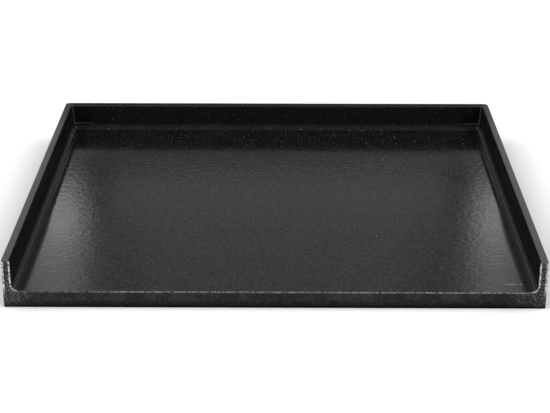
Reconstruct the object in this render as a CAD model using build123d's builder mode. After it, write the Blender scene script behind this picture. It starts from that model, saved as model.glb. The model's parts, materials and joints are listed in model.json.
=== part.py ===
from build123d import *
import os

# Flat top griddle: a heavy cooking plate that drops on to the burner frame of a
# commercial range or grill. It is a welded steel fabrication, dressed and blacked all over.
#
# The cooking plate lies between three upright walls, left, right and back. The front is
# open, so that it can be scraped clean over the front edge. A rail under the front edge
# and the lower edges of the walls make the rim that the griddle stands on, and three
# stiffeners under the plate keep it flat when it is hot.
#
# The outside and the cooking hollow are dressed smooth after welding, so they are made
# first, as one dressed body. A wall, plate, rail or dressed weld is then whatever part of
# that body lies in its own place. The beads under the plate are left as laid.
#
# Millimetres. +X is to the right, +Y to the back and +Z up. The origin is the centre of
# the footprint, on the surface that the rim stands on.

# Driving dimensions
WIDTH = 610.0
DEPTH = 533.0
HEIGHT = 57.0
SURFACE_HEIGHT = 20.0  # top of the cooking plate
PLATE_THICKNESS = 8.0
WALL_THICKNESS = 9.5
RAIL_THICKNESS = 9.5

# Dressed shape of the outside
REAR_OUTLINE_RADIUS = 6.0
FRONT_OUTLINE_RADIUS = 2.0
FOOT_RADIUS = 1.2
ARRIS_RADIUS = 1.0  # outer upper edge of the walls, and the open front of the hollow

# Dressed shape of the cooking hollow
COVE_RADIUS = 8.5
CORNER_FOOT_RADIUS = 9.0  # upright back corners, at the cooking surface
CORNER_LIP_RADIUS = 3.0  # and at the top of the walls
INNER_LIP_RADIUS = 3.0

# Dressed welds
BITE = 1.2  # how far their metal reaches into the pieces that they join
GROOVE_HALF_WIDTH = 3.0
GROOVE_DEPTH = 4.0

# Beads under the plate
BEAD_LEG = 5.0
BEAD_BULGE_RADIUS = 6.0
STITCH_LEG = 3.5
STITCH_BULGE_RADIUS = 4.5
STITCH_LENGTH = 38.0
STITCH_COUNT = 5

# Stiffeners
STIFFENER_WIDTH = 10.0
STIFFENER_FOOT_GAP = 2.0  # they stay clear of the surface that the rim stands on
STIFFENER_END_GAP = 16.0
STIFFENER_CHAMFER = 0.8

# Derived places
SIDES = {"left": -1, "right": 1}
OVERRUN = 20.0  # how far a cutting shape runs past what it cuts
FRONT_Y = -DEPTH / 2
REAR_Y = DEPTH / 2
OUTER_X = WIDTH / 2
INNER_X = OUTER_X - WALL_THICKNESS
INNER_REAR_Y = REAR_Y - WALL_THICKNESS
RAIL_REAR_Y = FRONT_Y + RAIL_THICKNESS
PLATE_UNDERSIDE = SURFACE_HEIGHT - PLATE_THICKNESS
COVE_REACH = COVE_RADIUS + BITE
CORNER_REACH = CORNER_FOOT_RADIUS + BITE
BAY_LENGTH = INNER_REAR_Y - RAIL_REAR_Y
BAY_CENTRE_Y = (INNER_REAR_Y + RAIL_REAR_Y) / 2
STIFFENER_LENGTH = BAY_LENGTH - 2 * STIFFENER_END_GAP
STIFFENER_HEIGHT = PLATE_UNDERSIDE - STIFFENER_FOOT_GAP
STIFFENER_X = {"left": -INNER_X / 2, "centre": 0.0, "right": INNER_X / 2}
STITCH_PITCH = STIFFENER_LENGTH / STITCH_COUNT

BACKWARD = Vector(0, 1, 0)
RIGHTWARD = Vector(1, 0, 0)
UPWARD = Vector(0, 0, 1)

os.makedirs("parts", exist_ok=True)


def block_between(low, high):
    """An upright block between two opposite corners."""
    with BuildPart() as block:
        with BuildSketch(Plane.XY.offset(low[2])):
            with Locations(((low[0] + high[0]) / 2, (low[1] + high[1]) / 2)):
                Rectangle(high[0] - low[0], high[1] - low[1])
        extrude(amount=high[2] - low[2])
    return block.part


def mitre_plane(corner_x, corner_y):
    """Upright plane that halves a corner of the rim. Its positive side is the front's or the back's."""
    along_x = -1 if corner_x > 0 else 1
    along_y = 1 if corner_y > 0 else -1
    return Plane(origin=(corner_x, corner_y, 0), z_dir=(along_x, along_y, 0))


def joint_plane(corner, first_leg, second_leg):
    """Plane across a joint: its origin in the corner, X and Y along the two joined faces."""
    return Plane(origin=corner, x_dir=first_leg, z_dir=first_leg.cross(second_leg))


def bead_section(leg, bulge_radius):
    """Section of a bead as laid, with its corner at the origin and its legs along +X and +Y."""
    with BuildSketch() as section:
        with BuildLine():
            Line((0, 0), (leg, 0))
            RadiusArc((leg, 0), (0, leg), -bulge_radius)
            Line((0, leg), (0, 0))
        make_face()
    return section.sketch


# Cooking hollow: straight walls, a coved foot, and back corners that sharpen towards the lip.
with BuildPart() as hollow:
    for height, corner_radius in (
        (SURFACE_HEIGHT, CORNER_FOOT_RADIUS),
        (HEIGHT, CORNER_LIP_RADIUS),
    ):
        with BuildSketch(Plane.XY.offset(height)):
            with Locations((0, (INNER_REAR_Y + FRONT_Y - OVERRUN) / 2)):
                Rectangle(2 * INNER_X, INNER_REAR_Y - FRONT_Y + OVERRUN)
            fillet(vertices().group_by(Axis.Y)[-1], corner_radius)
    loft(ruled=True)
    floor_edges = faces().sort_by(Axis.Z)[0].edges()
    fillet(floor_edges.sort_by(Axis.Y)[1:], COVE_RADIUS)

# Dressed body: solid all through but for the hollow.
with BuildPart() as dressed_body:
    with BuildSketch(Plane.XY):
        Rectangle(WIDTH, DEPTH)
        fillet(vertices().group_by(Axis.Y)[-1], REAR_OUTLINE_RADIUS)
        fillet(vertices().group_by(Axis.Y)[0], FRONT_OUTLINE_RADIUS)
    extrude(amount=HEIGHT)
    fillet(faces().sort_by(Axis.Z)[0].edges(), FOOT_RADIUS)
    add(hollow.part, mode=Mode.SUBTRACT)
    lip_face = faces().filter_by(Axis.Z).sort_by(Axis.Z)[-1]
    inner_lip = lip_face.edges().filter_by(
        lambda e: abs(e.center().X) < INNER_X + 1 and FRONT_Y + 1 < e.center().Y < INNER_REAR_Y + 1
    )
    fillet(inner_lip, INNER_LIP_RADIUS)
    # The arris runs on by itself from the walls' front ends round the open front of the hollow.
    lip_face = faces().filter_by(Axis.Z).sort_by(Axis.Z)[-1]
    outer_lip = lip_face.edges().filter_by(
        lambda e: abs(e.center().X) > INNER_X + INNER_LIP_RADIUS + 1
        or e.center().Y > INNER_REAR_Y + INNER_LIP_RADIUS + 1
    )
    fillet(outer_lip, ARRIS_RADIUS)

# Places of the dressed welds
inside_weld_places = {}
corner_weld_places = {}
groove_weld_places = {}
for side, sign in SIDES.items():
    toe_x = sign * (INNER_X - COVE_REACH)
    root_x = sign * (INNER_X + BITE)
    with BuildPart() as inside_weld_place:
        add(
            block_between(
                (min(toe_x, root_x), FRONT_Y - OVERRUN, SURFACE_HEIGHT - BITE),
                (max(toe_x, root_x), INNER_REAR_Y + OVERRUN, SURFACE_HEIGHT + COVE_REACH),
            )
        )
        split(bisect_by=mitre_plane(sign * INNER_X, INNER_REAR_Y), keep=Keep.BOTTOM)
    inside_weld_places[side] = inside_weld_place.part

    toe_x = sign * (INNER_X - CORNER_REACH)
    corner_weld_places[side] = block_between(
        (min(toe_x, root_x), INNER_REAR_Y - CORNER_REACH, SURFACE_HEIGHT + COVE_REACH),
        (max(toe_x, root_x), INNER_REAR_Y + BITE, HEIGHT + OVERRUN),
    )

    for end, face_y, inward, top in (
        ("front", FRONT_Y, 1, SURFACE_HEIGHT - BITE),
        ("rear", REAR_Y, -1, HEIGHT),
    ):
        with BuildPart() as groove_weld_place:
            with BuildSketch(Plane.XY):
                with BuildLine():
                    Polyline(
                        (sign * INNER_X - GROOVE_HALF_WIDTH, face_y),
                        (sign * INNER_X + GROOVE_HALF_WIDTH, face_y),
                        (sign * INNER_X, face_y + inward * GROOVE_DEPTH),
                        close=True,
                    )
                make_face()
            extrude(amount=top)
        groove_weld_places[side, end] = groove_weld_place.part

with BuildPart() as back_weld_place:
    add(
        block_between(
            (-INNER_X - BITE, INNER_REAR_Y - COVE_REACH, SURFACE_HEIGHT - BITE),
            (INNER_X + BITE, INNER_REAR_Y + BITE, SURFACE_HEIGHT + COVE_REACH),
        )
    )
    for sign in SIDES.values():
        split(bisect_by=mitre_plane(sign * INNER_X, INNER_REAR_Y), keep=Keep.TOP)

# Between the front edge of the plate and the rail, as far as the welds at its two ends
with BuildPart() as seam_weld_place:
    with BuildSketch(Plane.YZ.offset(-INNER_X)):
        with BuildLine():
            Polyline(
                (FRONT_Y, PLATE_UNDERSIDE - GROOVE_HALF_WIDTH),
                (FRONT_Y, PLATE_UNDERSIDE + GROOVE_HALF_WIDTH),
                (FRONT_Y + GROOVE_DEPTH, PLATE_UNDERSIDE),
                close=True,
            )
        make_face()
    extrude(amount=2 * INNER_X)
    for side in SIDES:
        add(groove_weld_places[side, "front"], mode=Mode.SUBTRACT)

weld_places = [
    *inside_weld_places.values(),
    *corner_weld_places.values(),
    *groove_weld_places.values(),
    back_weld_place.part,
    seam_weld_place.part,
]

# Cooking plate
with BuildPart() as cooking_plate:
    add(dressed_body.part)
    add(
        block_between(
            (-INNER_X, FRONT_Y - OVERRUN, PLATE_UNDERSIDE),
            (INNER_X, INNER_REAR_Y, SURFACE_HEIGHT + OVERRUN),
        ),
        mode=Mode.INTERSECT,
    )
    add(weld_places, mode=Mode.SUBTRACT)
cooking_plate.part.label = "cooking_plate"
export_step(cooking_plate.part, "parts/cooking_plate.step")

# Left and right walls, which run the whole depth
for side, sign in SIDES.items():
    with BuildPart() as side_wall:
        add(dressed_body.part)
        inner_x, outer_x = sign * INNER_X, sign * (OUTER_X + OVERRUN)
        add(
            block_between(
                (min(inner_x, outer_x), FRONT_Y - OVERRUN, -OVERRUN),
                (max(inner_x, outer_x), REAR_Y + OVERRUN, HEIGHT + OVERRUN),
            ),
            mode=Mode.INTERSECT,
        )
        add(weld_places, mode=Mode.SUBTRACT)
    side_wall.part.label = f"{side}_wall"
    export_step(side_wall.part, f"parts/{side}_wall.step")

# Back wall, between the side walls
with BuildPart() as back_wall:
    add(dressed_body.part)
    add(
        block_between(
            (-INNER_X, INNER_REAR_Y, -OVERRUN),
            (INNER_X, REAR_Y + OVERRUN, HEIGHT + OVERRUN),
        ),
        mode=Mode.INTERSECT,
    )
    add(weld_places, mode=Mode.SUBTRACT)
back_wall.part.label = "back_wall"
export_step(back_wall.part, "parts/back_wall.step")

# Front rail, under the front edge of the plate
with BuildPart() as front_rail:
    add(dressed_body.part)
    add(
        block_between(
            (-INNER_X, FRONT_Y - OVERRUN, -OVERRUN),
            (INNER_X, RAIL_REAR_Y, PLATE_UNDERSIDE),
        ),
        mode=Mode.INTERSECT,
    )
    add(weld_places, mode=Mode.SUBTRACT)
front_rail.part.label = "front_rail"
export_step(front_rail.part, "parts/front_rail.step")

# Dressed cove welds along the foot of the walls
with BuildPart() as back_inside_weld:
    add(dressed_body.part)
    add(back_weld_place.part, mode=Mode.INTERSECT)
back_inside_weld.part.label = "back_inside_weld"
export_step(back_inside_weld.part, "parts/back_inside_weld.step")

for side in SIDES:
    with BuildPart() as inside_weld:
        add(dressed_body.part)
        add(inside_weld_places[side], mode=Mode.INTERSECT)
    inside_weld.part.label = f"{side}_inside_weld"
    export_step(inside_weld.part, f"parts/{side}_inside_weld.step")

    # Dressed weld up the inside of each back corner
    with BuildPart() as corner_weld:
        add(dressed_body.part)
        add(corner_weld_places[side], mode=Mode.INTERSECT)
    corner_weld.part.label = f"{side}_corner_weld"
    export_step(corner_weld.part, f"parts/{side}_corner_weld.step")

# Dressed butt welds on the front and rear faces, at the ends of the side walls' joints
for (side, end), place in groove_weld_places.items():
    with BuildPart() as groove_weld:
        add(dressed_body.part)
        add(place, mode=Mode.INTERSECT)
    groove_weld.part.label = f"{side}_{end}_weld"
    export_step(groove_weld.part, f"parts/{side}_{end}_weld.step")

# Dressed seam between the plate's front edge and the rail
with BuildPart() as front_seam_weld:
    add(dressed_body.part)
    add(seam_weld_place.part, mode=Mode.INTERSECT)
front_seam_weld.part.label = "front_seam_weld"
export_step(front_seam_weld.part, "parts/front_seam_weld.step")

# Beads round the underside of the plate
for side, sign in SIDES.items():
    with BuildPart() as side_bead:
        corner = (sign * INNER_X, RAIL_REAR_Y, PLATE_UNDERSIDE)
        with BuildSketch(joint_plane(corner, -sign * RIGHTWARD, -UPWARD)):
            add(bead_section(BEAD_LEG, BEAD_BULGE_RADIUS))
        extrude(amount=BAY_LENGTH, dir=BACKWARD)
        split(bisect_by=mitre_plane(sign * INNER_X, INNER_REAR_Y), keep=Keep.BOTTOM)
        split(bisect_by=mitre_plane(sign * INNER_X, RAIL_REAR_Y), keep=Keep.BOTTOM)
    side_bead.part.label = f"{side}_under_weld"
    export_step(side_bead.part, f"parts/{side}_under_weld.step")

for name, bead_y, inward in (
    ("front_under_weld", RAIL_REAR_Y, BACKWARD),
    ("back_under_weld", INNER_REAR_Y, -BACKWARD),
):
    with BuildPart() as cross_bead:
        corner = (-INNER_X, bead_y, PLATE_UNDERSIDE)
        with BuildSketch(joint_plane(corner, inward, -UPWARD)):
            add(bead_section(BEAD_LEG, BEAD_BULGE_RADIUS))
        extrude(amount=2 * INNER_X, dir=RIGHTWARD)
        for sign in SIDES.values():
            split(bisect_by=mitre_plane(sign * INNER_X, bead_y), keep=Keep.TOP)
    cross_bead.part.label = name
    export_step(cross_bead.part, f"parts/{name}.step")

# Stiffeners and the stitches that hold them, a row down each side of each bar
for name, bar_x in STIFFENER_X.items():
    with BuildPart() as stiffener:
        with BuildSketch(Plane.XY.offset(STIFFENER_FOOT_GAP)):
            with Locations((bar_x, BAY_CENTRE_Y)):
                Rectangle(STIFFENER_WIDTH, STIFFENER_LENGTH)
        extrude(amount=STIFFENER_HEIGHT)
        chamfer(faces().sort_by(Axis.Z)[0].edges(), STIFFENER_CHAMFER)
    stiffener.part.label = f"{name}_stiffener"
    export_step(stiffener.part, f"parts/{name}_stiffener.step")

    with BuildPart() as stitches:
        for sign in SIDES.values():
            for index in range(STITCH_COUNT):
                middle_y = BAY_CENTRE_Y + (index - (STITCH_COUNT - 1) / 2) * STITCH_PITCH
                corner = (
                    bar_x + sign * STIFFENER_WIDTH / 2,
                    middle_y - STITCH_LENGTH / 2,
                    PLATE_UNDERSIDE,
                )
                with BuildSketch(joint_plane(corner, sign * RIGHTWARD, -UPWARD)):
                    add(bead_section(STITCH_LEG, STITCH_BULGE_RADIUS))
                extrude(amount=STITCH_LENGTH, dir=BACKWARD)
    stitches.part.label = f"{name}_stiffener_welds"
    export_step(stitches.part, f"parts/{name}_stiffener_welds.step")
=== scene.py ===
import json
import math
import random

import bmesh
import bpy
from mathutils import Matrix, Vector


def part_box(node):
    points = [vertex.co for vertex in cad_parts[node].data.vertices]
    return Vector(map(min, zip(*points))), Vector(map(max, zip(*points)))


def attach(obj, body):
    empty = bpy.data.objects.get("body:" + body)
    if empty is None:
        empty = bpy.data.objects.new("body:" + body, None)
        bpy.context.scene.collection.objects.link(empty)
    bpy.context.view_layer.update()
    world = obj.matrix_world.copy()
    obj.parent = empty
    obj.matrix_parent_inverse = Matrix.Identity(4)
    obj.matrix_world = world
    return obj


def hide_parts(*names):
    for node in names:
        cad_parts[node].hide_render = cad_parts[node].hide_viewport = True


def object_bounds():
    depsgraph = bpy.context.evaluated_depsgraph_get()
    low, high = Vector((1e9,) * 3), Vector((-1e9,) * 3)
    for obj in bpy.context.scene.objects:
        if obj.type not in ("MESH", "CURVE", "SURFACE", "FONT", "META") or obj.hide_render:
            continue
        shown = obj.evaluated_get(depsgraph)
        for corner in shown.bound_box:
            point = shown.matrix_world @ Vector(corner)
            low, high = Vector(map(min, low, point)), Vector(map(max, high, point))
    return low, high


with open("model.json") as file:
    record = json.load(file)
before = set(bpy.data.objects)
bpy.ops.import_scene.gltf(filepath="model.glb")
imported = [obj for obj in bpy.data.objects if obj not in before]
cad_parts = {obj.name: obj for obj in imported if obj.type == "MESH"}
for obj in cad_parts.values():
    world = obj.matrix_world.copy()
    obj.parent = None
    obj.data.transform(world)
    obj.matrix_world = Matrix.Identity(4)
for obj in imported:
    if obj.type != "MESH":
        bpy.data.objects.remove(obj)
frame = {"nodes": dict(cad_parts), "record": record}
cad_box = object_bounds()

# ---------------------------------------------------------------- places, in metres
# The origin is the middle of the footprint, +X to the right, +Y to the back and +Z up.
MM = 0.001
LOW, HIGH = (Vector(corner) for corner in cad_box)
PLATE_LOW, PLATE_HIGH = (Vector(corner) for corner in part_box("cooking_plate"))
FRONT_Y = LOW.y
OUTER_X, TOP_Z = HIGH.x, HIGH.z
SURFACE_Z, UNDERSIDE_Z = PLATE_HIGH.z, PLATE_LOW.z
INNER_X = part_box("right_wall")[0][0]
INNER_REAR_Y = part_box("back_wall")[0][1]
RAIL_REAR_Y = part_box("front_rail")[1][1]
COVE_RADIUS = 8.5 * MM  # along the foot of the walls


# ---------------------------------------------------------------- node helpers
class Nodes:
    """Builds the node tree of one material with short calls."""

    def __init__(self, name):
        self.material = bpy.data.materials.new(name)
        self.material.use_nodes = True
        self.tree = self.material.node_tree
        self.tree.nodes.clear()
        output = self.tree.nodes.new("ShaderNodeOutputMaterial")
        self.shader = self.tree.nodes.new("ShaderNodeBsdfPrincipled")
        self.tree.links.new(self.shader.outputs["BSDF"], output.inputs["Surface"])
        coordinates = self.tree.nodes.new("ShaderNodeTexCoord")
        self.place = coordinates.outputs["Object"]
        self.x, self.y, self.z = self.split(self.place)
        geometry = self.tree.nodes.new("ShaderNodeNewGeometry")
        self.normal_z = self.split(geometry.outputs["True Normal"])[2]

    def split(self, vector):
        node = self.tree.nodes.new("ShaderNodeSeparateXYZ")
        self.tree.links.new(vector, node.inputs[0])
        return tuple(node.outputs)

    def put(self, value, socket):
        """A socket takes another node's output, or a plain number or colour."""
        if isinstance(value, bpy.types.NodeSocket):
            self.tree.links.new(value, socket)
        else:
            socket.default_value = value

    def math(self, operation, a, b=0.0):
        node = self.tree.nodes.new("ShaderNodeMath")
        node.operation = operation
        self.put(a, node.inputs[0])
        self.put(b, node.inputs[1])
        return node.outputs[0]

    def add(self, a, b):
        return self.math("ADD", a, b)

    def less(self, a, b):
        return self.math("SUBTRACT", a, b)

    def size(self, a):
        return self.math("ABSOLUTE", a)

    def times(self, first, *others):
        """Several masks multiplied together."""
        for other in others:
            first = self.math("MULTIPLY", first, other)
        return first

    def most(self, first, *others):
        """The largest of several masks."""
        for other in others:
            first = self.math("MAXIMUM", first, other)
        return first

    def ramp(self, value, start, end, low=0.0, high=1.0):
        """Smooth step: low below start, high above end."""
        node = self.tree.nodes.new("ShaderNodeMapRange")
        node.interpolation_type = "SMOOTHSTEP"
        self.put(value, node.inputs["Value"])
        node.inputs["From Min"].default_value = start
        node.inputs["From Max"].default_value = end
        node.inputs["To Min"].default_value = low
        node.inputs["To Max"].default_value = high
        return node.outputs["Result"]

    def fade(self, value, start, end, high=1.0):
        """Smooth step down: high below start, 0 above end."""
        return self.ramp(value, start, end, high, 0.0)

    def band(self, value, start, end):
        """1 between start and end, with soft sides."""
        soft = 0.3 * (end - start)
        rising = self.ramp(value, start - soft, start + soft)
        return self.times(rising, self.fade(value, end - soft, end + soft))

    def noise(self, size, detail=2.0, rough=0.5, seed=0.0):
        """Noise whose blobs are about size metres across."""
        shift = self.tree.nodes.new("ShaderNodeVectorMath")
        shift.operation = "ADD"
        self.put(self.place, shift.inputs[0])
        shift.inputs[1].default_value = (seed, seed * 0.7, seed * 1.3)
        node = self.tree.nodes.new("ShaderNodeTexNoise")
        self.tree.links.new(shift.outputs[0], node.inputs["Vector"])
        node.inputs["Scale"].default_value = 1.0 / size
        node.inputs["Detail"].default_value = detail
        node.inputs["Roughness"].default_value = rough
        return node.outputs["Fac"]

    def specks(self, cell, radius, share, seed):
        """Round specks scattered on any of the faces: one at most in each cell, in a share of the cells."""
        flat = self.tree.nodes.new("ShaderNodeCombineXYZ")
        self.put(self.add(self.add(self.x, self.z), seed), flat.inputs["X"])
        self.put(self.add(self.y, self.z), flat.inputs["Y"])
        node = self.tree.nodes.new("ShaderNodeTexVoronoi")
        node.voronoi_dimensions = "2D"
        node.inputs["Scale"].default_value = 1.0 / cell
        self.tree.links.new(flat.outputs[0], node.inputs["Vector"])
        picks = self.tree.nodes.new("ShaderNodeSeparateColor")
        self.tree.links.new(node.outputs["Color"], picks.inputs[0])
        chosen = self.math("LESS_THAN", picks.outputs["Red"], share)
        reach = self.times(self.add(picks.outputs["Green"], 0.35), radius / cell)
        dot = self.ramp(self.less(reach, node.outputs["Distance"]), 0.0, 0.25 * radius / cell)
        return self.times(chosen, dot)

    def mix(self, factor, a, b):
        node = self.tree.nodes.new("ShaderNodeMix")
        self.put(factor, node.inputs["Factor"])
        self.put(a, node.inputs["A"])
        self.put(b, node.inputs["B"])
        return node.outputs["Result"]

    def mix_colour(self, factor, a, b):
        """As mix, through the colour sockets, which share their names with the plain ones."""
        node = self.tree.nodes.new("ShaderNodeMix")
        node.data_type = "RGBA"
        self.put(factor, node.inputs["Factor"])
        self.put(a, node.inputs[6])
        self.put(b, node.inputs[7])
        return node.outputs[2]

    def bump(self, height, depth, strength=1.0, under=None):
        """Adds relief whose full height is depth metres, on top of the relief under it."""
        node = self.tree.nodes.new("ShaderNodeBump")
        self.put(height, node.inputs["Height"])
        node.inputs["Distance"].default_value = depth
        self.put(strength, node.inputs["Strength"])
        if under is not None:
            self.tree.links.new(under, node.inputs["Normal"])
        return node.outputs["Normal"]


def grey(level, warmth=0.0):
    return (level * (1 + warmth), level, level * (1 - warmth), 1.0)


# ---------------------------------------------------------------- black coat
class Coat(Nodes):
    """A baked black coat in the making: its noises, and the places that its masks start from."""

    def __init__(self, name):
        super().__init__(name)
        self.blotches = self.noise(26 * MM, 3.0, seed=1.0)
        self.grain = self.noise(3.2 * MM, 2.0, 0.6, seed=2.0)
        self.waves = self.noise(6.2 * MM, 2.0, 0.45, seed=3.0)
        self.ragged = self.noise(9 * MM, 3.0, seed=4.0)
        self.grit = self.noise(1.9 * MM, 3.0, 0.7, seed=6.0)
        self.mottle = self.noise(16 * MM, 4.0, 0.6, seed=8.0)
        self.wear = self.noise(2.2 * MM, 3.0, 0.7, seed=9.0)
        self.patchy = self.ramp(self.wear, 0.3, 0.62, 0.35, 1.0)

        self.across = self.size(self.x)
        self.above = self.less(self.z, SURFACE_Z)
        self.from_side = self.less(INNER_X, self.across)
        self.from_rear = self.less(INNER_REAR_Y, self.y)
        self.from_wall = self.math("MINIMUM", self.from_side, self.from_rear)
        self.upright = self.less(1.0, self.ramp(self.size(self.normal_z), 0.25, 0.8))
        self.at_front = self.fade(self.y, FRONT_Y + 0.6 * MM, FRONT_Y + 1.8 * MM)
        clear_of_wall = self.ramp(self.from_wall, -0.3 * MM, 0.0)
        self.in_hollow = self.times(clear_of_wall, self.ramp(self.above, -1.0 * MM, -0.5 * MM))


def coating_colour(c, level):
    """Blotches under a fine light grain, which is weaker on upright faces and towards the rear."""
    base = c.mix_colour(c.ramp(c.blotches, 0.3, 0.7), grey(level * 0.5), grey(level * 1.1, -0.02))
    weaker = c.most(c.upright, c.ramp(c.y, 140 * MM, 200 * MM, 0.0, 0.6))
    grained = c.times(c.ramp(c.grain, 0.46, 0.6), c.less(1.0, c.times(weaker, 0.7)))
    return c.mix_colour(grained, base, grey(level * 4.8))


def front_colour(c, colour):
    """Mottling and light speckle on the front faces. The shade towards the foot is painted on."""
    colour = c.mix_colour(c.times(c.at_front, c.ramp(c.mottle, 0.46, 0.6)), colour, grey(0.016))
    where = c.ramp(c.mottle, 0.4, 0.62, 0.25, 1.0)
    colour = c.mix_colour(c.times(c.at_front, c.ramp(c.grit, 0.55, 0.68), where), colour, grey(0.05))
    return c.mix_colour(c.times(c.at_front, c.fade(c.z, 1 * MM, 9 * MM, 0.75)), colour, grey(0.001))


def dressed_corners(c):
    """The ragged patches close to the two front corners, where the end welds were dressed by hand."""
    shift = c.times(c.less(c.ragged, 0.5), 36 * MM)
    near_corner = c.ramp(c.add(c.across, shift), OUTER_X - 46 * MM, OUTER_X - 8 * MM)
    return c.times(near_corner, c.at_front, c.ramp(c.z, 4 * MM, 12 * MM, 0.35, 1.0))


def rail_edge_wear_and_highlight(c):
    """The worn arris along the front edge of the plate, with a painted highlight on it, fainter towards the
    left.
    """
    along_edge = c.fade(c.size(c.less(c.z, SURFACE_Z - 0.4 * MM)), 0.7 * MM, 1.1 * MM)
    between_walls = c.fade(c.across, INNER_X - 9 * MM, INNER_X - 5 * MM)
    fainter = c.ramp(c.x, -240 * MM, -150 * MM, 0.5, 1.0)
    on_face = c.fade(c.y, FRONT_Y + 0.9 * MM, FRONT_Y + 1.4 * MM)
    return c.times(along_edge, between_walls, fainter, on_face)


def end_edge_wear_and_highlights(c):
    """The worn arrises of the walls' front ends, with painted highlights on them, and a painted highlight
    up the walls' outside edges. The inner one curls round the end of the cove.
    """
    straight = c.fade(c.size(c.less(c.across, INNER_X + 0.6 * MM)), 0.7 * MM, 1.1 * MM)
    straight = c.times(straight, c.ramp(c.z, SURFACE_Z + 8 * MM, SURFACE_Z + 9 * MM))
    run = c.most(c.less(c.across, INNER_X - COVE_RADIUS), 0.0)
    drop = c.most(c.less(SURFACE_Z + COVE_RADIUS, c.z), 0.0)
    radius = c.math("SQRT", c.add(c.times(run, run), c.times(drop, drop)))
    curl = c.times(c.band(radius, 8.4 * MM, 9.8 * MM), c.ramp(run, 0.0, 3 * MM), c.ramp(drop, 0.0, 1 * MM))
    outside_edge_highlight = c.times(c.ramp(c.across, OUTER_X - 3.4 * MM, OUTER_X - 2.2 * MM), c.ramp(c.z, 10 * MM, 26 * MM))
    return c.most(straight, curl, outside_edge_highlight)


def weld_strip(c):
    """The dull strip over the inside welds and the plate beside them. It is narrower towards the rear."""
    reach = c.add(c.from_wall, c.ramp(c.y, -130 * MM, 60 * MM, 0.0, 8 * MM))
    return c.times(c.fade(reach, 10 * MM, 19 * MM), c.fade(c.above, 8.4 * MM, 9.6 * MM), c.in_hollow)


def side_toe_highlights(c, strip):
    """Two painted highlight lines along the inside welds of the side walls."""
    upper, lower = c.band(c.above, 3.7 * MM, 4.5 * MM), c.band(c.above, 1.5 * MM, 2.3 * MM)
    return c.times(c.most(upper, lower), c.ramp(c.from_rear, 5 * MM, 9 * MM), strip)


def rear_toe_highlight(c):
    """The painted highlight line along the upper toe of the back wall's inside weld."""
    between_sides = c.ramp(c.from_side, 2 * MM, 4 * MM)
    on_wall = c.fade(c.from_rear, 1.2 * MM, 2 * MM)
    return c.times(c.band(c.above, 8.7 * MM, 9.9 * MM), c.in_hollow, between_sides, on_wall)


def corner_crease_highlight(c):
    """The painted highlight line up the middle of each back corner."""
    middle = c.band(c.less(c.from_side, c.from_rear), -1.0 * MM, 1.0 * MM)
    upward = c.times(c.ramp(c.above, 8 * MM, 9.5 * MM), c.fade(c.above, 33 * MM, 35 * MM))
    return c.times(middle, upward, c.in_hollow, c.fade(c.from_wall, 5 * MM, 8 * MM))


def rear_lip_highlight(c):
    """The painted highlight line along the inner lip of the back wall."""
    on_lip = c.times(c.ramp(c.from_rear, -3 * MM, -1 * MM), c.fade(c.from_rear, 1 * MM, 2 * MM))
    return c.times(c.band(c.z, TOP_Z - 1.8 * MM, TOP_Z - 0.8 * MM), on_lip, c.patchy)


def lighter_back_face(c):
    """The inner face of the back wall, away from its ends, painted a lighter grained tone."""
    on_wall = c.times(c.fade(c.from_rear, 0.5 * MM, 1.5 * MM), c.ramp(c.from_rear, -1.5 * MM, -0.5 * MM))
    return c.times(on_wall, c.ramp(c.from_side, 12 * MM, 42 * MM), c.upright)


def scuff(c):
    """A short mark on the plate near the front right corner."""
    along = c.most(c.band(c.x, 262 * MM, 274 * MM), c.band(c.x, 278 * MM, 281 * MM))
    line = c.times(along, c.band(c.y, FRONT_Y + 20.5 * MM, FRONT_Y + 22.5 * MM))
    return c.times(line, c.ramp(c.normal_z, 0.5, 0.9), c.patchy)


def rubbed_tops_with_sheen(c):
    """The tops of the side walls, lighter with painted sheen and duller where worn by rubbing, less so at
    the rear.
    """
    on_wall = c.ramp(c.across, INNER_X, INNER_X + 1.5 * MM)
    on_top = c.ramp(c.z, TOP_Z - 1 * MM, TOP_Z - 0.3 * MM)
    return c.times(on_wall, on_top, c.ramp(c.y, 140 * MM, 240 * MM, 1.0, 0.3))


def scattered_dust(c, share):
    """Light specks, few at the front and a share of their cells at the rear."""
    rising = c.ramp(c.y, 70 * MM, INNER_REAR_Y, share * 0.05, share)
    return c.most(c.specks(6 * MM, 0.36 * MM, rising, 3.1), c.specks(23 * MM, 0.6 * MM, rising, 7.7))


def coating_relief(c, dressed):
    """Orange peel and grain, calmer towards the rear, and grit on the dressed patches and the front."""
    calm = c.ramp(c.y, INNER_REAR_Y - 150 * MM, INNER_REAR_Y - 60 * MM, 1.0, 0.25)
    relief = c.bump(c.waves, 0.065 * MM, calm)
    relief = c.bump(c.grain, 0.02 * MM, calm, relief)
    return c.bump(c.grit, 0.5 * MM, c.most(dressed, c.times(c.at_front, 0.12)), relief)


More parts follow.
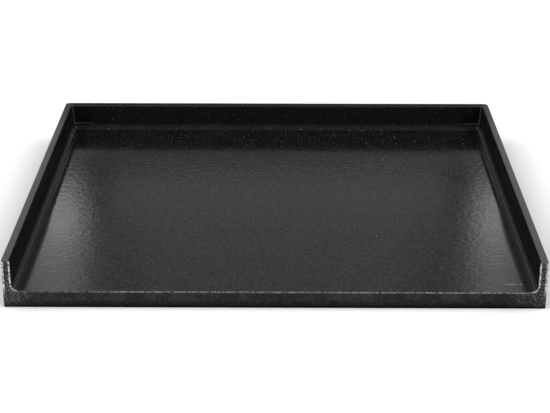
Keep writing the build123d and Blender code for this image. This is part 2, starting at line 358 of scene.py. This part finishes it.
def black_coat(name, level=0.0035, roughness=0.1, speck_share=0.0, ior=1.29):
    """Baked black coating over dressed steel, with worn light arrises under painted highlights, painted
    highlight lines, dull welds, and tops worn by rubbing with painted sheen.
    The IOR is below a real coating's, about 1.5: it was tuned to the photo under the light below."""
    c = Coat(name)
    dressed = dressed_corners(c)
    ends = end_edge_wear_and_highlights(c)
    close_to_front = c.fade(c.y, FRONT_Y + 1.6 * MM, FRONT_Y + 2.6 * MM)
    # Worn arrises carrying painted highlights
    edges = c.times(c.most(rail_edge_wear_and_highlight(c), ends), close_to_front, c.ramp(c.wear, 0.36, 0.6))
    strip = weld_strip(c)
    # Painted highlight lines on the welds and up the back corners
    toe = rear_toe_highlight(c)
    toe_highlight_lines = c.times(c.most(side_toe_highlights(c, strip), toe, corner_crease_highlight(c)), c.patchy)
    rubbed_and_sheen = rubbed_tops_with_sheen(c)
    # Painted shade: the lowest 3 mm is painted nearly black and matt, for the dark line in the photo at the
    # floor
    foot = c.fade(c.z, 1.4 * MM, 3.0 * MM)

    # A lighter grained tone for the back wall's inner face
    back_face_tone = c.mix_colour(c.ramp(c.grain, 0.4, 0.65), grey(0.005), grey(0.014))
    layers = [
        (c.times(dressed, c.ramp(c.grit, 0.47, 0.62)), grey(0.13)),
        # Worn arrises with painted highlights
        (edges, c.mix_colour(ends, grey(0.18), grey(0.75))),
        # Painted highlight lines on the welds and the back corners
        (toe_highlight_lines, c.mix_colour(toe, grey(0.085), grey(0.15))),
        (c.times(strip, c.ramp(c.grit, 0.5, 0.64)), grey(0.014)),
        # Painted highlight on the back wall's lip
        (rear_lip_highlight(c), grey(0.05)),
        (lighter_back_face(c), back_face_tone),
        (scuff(c), grey(0.22)),
        # Painted sheen on the side walls' tops
        (c.times(rubbed_and_sheen, c.ramp(c.wear, 0.35, 0.6, 0.6, 1.0)), grey(0.08)),
    ]
    # Upright faces are duller than the plate, and the rear is duller than the front
    rough = c.ramp(c.blotches, 0.25, 0.75, roughness - 0.008, roughness + 0.008)
    rough = c.add(rough, c.ramp(c.y, 100 * MM, 220 * MM, 0.0, 0.1))
    dull_parts = [(c.upright, 0.32), (strip, 0.42), (rubbed_and_sheen, 0.3), (c.most(dressed, edges), 0.5)]
    if speck_share:
        dust = scattered_dust(c, speck_share)
        layers.append((dust, grey(0.26)))
        dull_parts.append((dust, 0.7))
    # Painted shade along the floor
    layers.append((foot, grey(0.0005)))
    dull_parts.append((foot, 0.9))

    colour = front_colour(c, coating_colour(c, level))
    for mask, layer in layers:
        colour = c.mix_colour(mask, colour, layer)
    for mask, dull in dull_parts:
        rough = c.mix(mask, rough, dull)
    c.put(colour, c.shader.inputs["Base Color"])
    c.put(rough, c.shader.inputs["Roughness"])
    c.put(coating_relief(c, dressed), c.shader.inputs["Normal"])
    c.shader.inputs["IOR"].default_value = ior
    return c.material


MATERIALS = {
    "cooking_coat": black_coat("cooking_coat", speck_share=0.3),
    # A lighter, less glossy copy of the wall finish for the rail: painted light and shade
    "rail_coat_with_painted_light": black_coat("rail_coat_with_painted_light", level=0.014, ior=1.14),
    "wall_coat": black_coat("wall_coat", speck_share=0.16),
    "dressed_weld": black_coat("dressed_weld"),
    "underside_coat": black_coat("underside_coat", roughness=0.5),
}
for entry in frame["record"]["subparts"]:
    # The rail has the walls' finish in the record, and here a copy of it with a lighter base and less
    # gloss: painted light and shade for the front face
    finish = "rail_coat_with_painted_light" if entry["node"] == "front_rail" else entry["material_slot"]
    mesh = frame["nodes"][entry["node"]].data
    mesh.materials.clear()
    mesh.materials.append(MATERIALS[finish])

# ---------------------------------------------------------------- weld beads
# The beads on the underside are left as they were welded: a row of overlapping ripples.
RIPPLE_PITCH = 3.3 * MM
RIPPLE_HEIGHT = 0.38 * MM
RIPPLE_CRESCENT = 1.3 * MM  # how far the middle of a ripple runs ahead of its toes
BEAD_STATION = 0.55 * MM
FEWEST_STATIONS = 12
BEAD_POINTS = 8
BEAD_BULGE = 0.16  # of the leg, beyond the straight line between the toes
TOE_WOBBLE = 0.09  # of the leg
RIPPLE_DRIFT = 0.25
ROUNDED_TIP = 0.02  # the square of the size that a rounded end keeps at its tip
STITCHES_A_SIDE = 5
STITCH_LENGTH = 38 * MM
STITCH_SHIFT = 2 * MM  # how far a stitch may be out of its place
UNDER_BEAD_LEG = 5 * MM
STITCH_LEG = 3.5 * MM
RIGHT, BACK, DOWN = Vector((1, 0, 0)), Vector((0, 1, 0)), Vector((0, 0, -1))
draw = random.Random(7)


def slow_wobble(length, spacing, share):
    """A smooth random factor near 1 along a length."""
    knots = [1 + share * draw.uniform(-1, 1) for _ in range(int(length / spacing) + 3)]

    def factor(distance):
        whole = max(0.0, distance / spacing)
        index = min(int(whole), len(knots) - 2)
        part = min(1.0, whole - index)
        part = part * part * (3 - 2 * part)
        return knots[index] * (1 - part) + knots[index + 1] * part

    return factor


def add_bead(vertices, faces, start, end, along_a, along_b, leg, mitred):
    """One bead in the corner line from start to end, with a toe on each of the two faces.
    A mitred bead's ends lean at 45 degrees to meet its neighbours; any other ends round off."""
    length = (end - start).length
    forward = (end - start).normalized()
    outward = (along_a + along_b).normalized()
    wobble_a = slow_wobble(length, 11 * MM, TOE_WOBBLE)
    wobble_b = slow_wobble(length, 14 * MM, TOE_WOBBLE)
    drift = slow_wobble(length, 23 * MM, RIPPLE_DRIFT)
    stations = max(FEWEST_STATIONS, round(length / BEAD_STATION))
    first = len(vertices)
    for station in range(stations + 1):
        share = station / stations
        distance = share * length
        size = 1.0
        if not mitred:
            from_end = min(distance, length - distance) / leg
            size = math.sqrt(max(ROUNDED_TIP, 1 - max(0.0, 1 - from_end) ** 2))
        ring = [Vector((0, 0, 0))]
        for point in range(BEAD_POINTS):
            turn = point / (BEAD_POINTS - 1)
            swell = 4 * turn * (1 - turn)
            phase = (distance + RIPPLE_CRESCENT * swell) / RIPPLE_PITCH + 0.5 * drift(distance)
            step = phase % 1.0
            ripple = RIPPLE_HEIGHT * (1 - step * step) * (0.25 + 0.75 * swell)
            spot = along_a * (leg * wobble_a(distance) * size * (1 - turn))
            spot = spot + along_b * (leg * wobble_b(distance) * size * turn)
            ring.append(spot + outward * ((leg * BEAD_BULGE * swell + ripple * swell) * size))
        for spot in ring:
            inset = max(0.0, spot.dot(along_a)) if mitred else 0.0
            run = inset + (length - 2 * inset) * share
            vertices.append(start + forward * run + spot)
    width = BEAD_POINTS + 1
    for station in range(stations):
        low = first + station * width
        for point in range(width):
            after = (point + 1) % width
            faces.append((low + point, low + after, low + width + after, low + width + point))
    faces.append(tuple(first + point for point in reversed(range(width))))
    faces.append(tuple(first + stations * width + point for point in range(width)))


def bead_piece(name, node, beads):
    """A piece made of one or more beads, standing for a CAD node."""
    vertices, faces = [], []
    for bead in beads:
        add_bead(vertices, faces, *bead)
    mesh = bpy.data.meshes.new(name)
    mesh.from_pydata(vertices, [], faces)
    shell = bmesh.new()
    shell.from_mesh(mesh)
    bmesh.ops.recalc_face_normals(shell, faces=shell.faces)
    shell.to_mesh(mesh)
    shell.free()
    mesh.materials.append(MATERIALS["underside_coat"])
    piece = bpy.data.objects.new(name, mesh)
    bpy.context.collection.objects.link(piece)
    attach(piece, "root")
    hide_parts(node)


corners = {
    (side, end): Vector((side * INNER_X, RAIL_REAR_Y if end == "front" else INNER_REAR_Y, UNDERSIDE_Z))
    for side in (-1, 1)
    for end in ("front", "back")
}
UNDER_BEADS = {
    "left": ((-1, "front"), (-1, "back"), RIGHT),
    "right": ((1, "front"), (1, "back"), -RIGHT),
    "back": ((-1, "back"), (1, "back"), -BACK),
    "front": ((-1, "front"), (1, "front"), BACK),
}
for side, (start, end, inward) in UNDER_BEADS.items():
    bead = (corners[start], corners[end], inward, DOWN, UNDER_BEAD_LEG, True)
    bead_piece(f"{side}_under_bead", f"{side}_under_weld", [bead])

for side in ("left", "centre", "right"):
    low, high = (Vector(corner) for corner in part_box(f"{side}_stiffener"))
    pitch = (high.y - low.y) / STITCHES_A_SIDE
    beads = []
    for face_x, away in ((low.x, -RIGHT), (high.x, RIGHT)):
        for index in range(STITCHES_A_SIDE):
            middle = low.y + (index + 0.5) * pitch + draw.uniform(-1, 1) * STITCH_SHIFT
            start = Vector((face_x, middle - STITCH_LENGTH / 2, UNDERSIDE_Z))
            end = Vector((face_x, middle + STITCH_LENGTH / 2, UNDERSIDE_Z))
            beads.append((start, end, away, DOWN, STITCH_LEG, False))
    bead_piece(f"{side}_stiffener_beads", f"{side}_stiffener_welds", beads)


# ---------------------------------------------------------------- stage
def pale_paper(name):
    """Seamless studio paper."""
    n = Nodes(name)
    fibres = n.noise(2 * MM, 3.0)
    n.put(n.mix_colour(fibres, grey(0.90), grey(0.94)), n.shader.inputs["Base Color"])
    n.shader.inputs["Roughness"].default_value = 0.95
    n.shader.inputs["Specular IOR Level"].default_value = 0.1
    return n.material


FLOOR_HALF = 6.0
floor_corners = [(x * FLOOR_HALF, y * FLOOR_HALF, 0) for x, y in ((-1, -1), (1, -1), (1, 1), (-1, 1))]
floor_mesh = bpy.data.meshes.new("floor")
floor_mesh.from_pydata(floor_corners, [], [(0, 1, 2, 3)])
floor_mesh.materials.append(pale_paper("paper"))
floor = bpy.data.objects.new("floor", floor_mesh)
bpy.context.collection.objects.link(floor)

# ---------------------------------------------------------------- camera
# The place and angles were fitted to the photo's edges by a scratch script
CAMERA_PLACE = (0.0082, FRONT_Y - 1.448, 0.7509)
PITCH_DOWN, TURN, ROLL = (math.radians(angle) for angle in (23.392, 0.307, 0.045))
camera_data = bpy.data.cameras.new("camera")
camera_data.sensor_width = 36.0
camera_data.lens = 94.6
camera_data.clip_end = 50.0
camera = bpy.data.objects.new("camera", camera_data)
bpy.context.collection.objects.link(camera)
camera.location = CAMERA_PLACE
camera.rotation_euler = (
    Matrix.Rotation(TURN, 4, "Z")
    @ Matrix.Rotation(math.pi / 2 - PITCH_DOWN, 4, "X")
    @ Matrix.Rotation(ROLL, 4, "Z")
).to_euler()
scene = bpy.context.scene
scene.camera = camera

# ---------------------------------------------------------------- light
# The studio is a dome of light. Azimuth is in degrees from +Y, which is behind the griddle,
# towards +X; elevation is in degrees above the horizon.
# The panels were set from a fit of the light to the photo's brightness, so this is not a
# plain studio. The first ten are shaped to what this camera sees mirrored in the coat, and the
# names beside the panels are labels: nobody knows what stood in the real studio.
EVEN_LIGHT = 0.08
PANELS = (
    # azimuths, elevations, softness, strength
    ((-11.4, -8.8), (22.6, 32), 0.8, 1.0),  # left strip light
    ((-10.4, -8.6), (22.4, 24.2), 0.6, 2.6),  # and its lamp
    ((8.4, 10.5), (22.2, 31), 0.8, 0.95),  # right strip light
    ((8.4, 9.7), (22.3, 24.4), 0.6, 2.0),  # and its lamp
    ((-14, 12), (23.3, 44), 1.0, 0.27),  # tall backdrop behind
    ((-6.2, 5.8), (23.3, 31), 1.0, 0.15),  # and its brighter middle
    ((-7.4, 7.0), (22.2, 23.1), 0.4, 0.9),  # bright band behind, seen over the rear of the plate
    ((0, 10), (8, 17), 3.0, 0.25),  # pale backdrop low behind
    ((3, 14), (17, 20.5), 1.2, 0.22),  # and its right-hand part, seen in the top of the back wall
    ((-7, 9), (20.8, 22.2), 0.8, 0.03),  # faint glow under the bright band
    ((-52, -24), (32, 62), 4.0, 1.2),  # left overhead box
    ((24, 52), (32, 62), 4.0, 1.2),  # right overhead box
    ((58, 135), (30, 66), 6.0, 3.6),  # big boxes to the sides
    ((-135, -58), (30, 66), 6.0, 3.6),
    ((105, 185), (14, 34), 5.0, 0.9),  # soft fill from the camera's side
    ((-185, -105), (14, 34), 5.0, 0.8),
    ((-185, 185), (70, 95), 5.0, 0.5),  # ceiling
)
world = bpy.data.worlds.new("studio")
world.use_nodes = True
studio = world.node_tree
background = studio.nodes["Background"]
direction = studio.nodes.new("ShaderNodeTexCoord").outputs["Generated"]
parts = studio.nodes.new("ShaderNodeSeparateXYZ")
studio.links.new(direction, parts.inputs[0])


def sky_math(operation, a, b=0.0):
    node = studio.nodes.new("ShaderNodeMath")
    node.operation = operation
    for value, socket in ((a, node.inputs[0]), (b, node.inputs[1])):
        if isinstance(value, bpy.types.NodeSocket):
            studio.links.new(value, socket)
        else:
            socket.default_value = value
    return node.outputs[0]


def sky_step(value, start, end):
    node = studio.nodes.new("ShaderNodeMapRange")
    node.interpolation_type = "SMOOTHSTEP"
    studio.links.new(value, node.inputs["Value"])
    node.inputs["From Min"].default_value = start
    node.inputs["From Max"].default_value = end
    return node.outputs["Result"]


azimuth = sky_math("MULTIPLY", sky_math("ARCTAN2", parts.outputs[0], parts.outputs[1]), math.degrees(1))
elevation = sky_math("MULTIPLY", sky_math("ARCSINE", parts.outputs[2]), math.degrees(1))


def panel(azimuths, elevations, soft, strength):
    """A soft-edged panel of light between two azimuths and two elevations."""
    level = strength
    for value, (low, high) in ((azimuth, azimuths), (elevation, elevations)):
        level = sky_math("MULTIPLY", level, sky_step(value, low - soft, low + soft))
        above = sky_step(value, high - soft, high + soft)
        level = sky_math("MULTIPLY", level, sky_math("SUBTRACT", 1.0, above))
    return level


light = EVEN_LIGHT
for azimuths, elevations, soft, strength in PANELS:
    light = sky_math("ADD", light, panel(azimuths, elevations, soft, strength))
studio.links.new(light, background.inputs["Strength"])
background.inputs["Color"].default_value = (1, 1, 1, 1)
# The strip lights are narrow, so the light is sampled from a map finer than a degree
world.cycles.sampling_method = "MANUAL"
world.cycles.sample_map_resolution = 1024
scene.world = world
scene.view_settings.view_transform = "Standard"
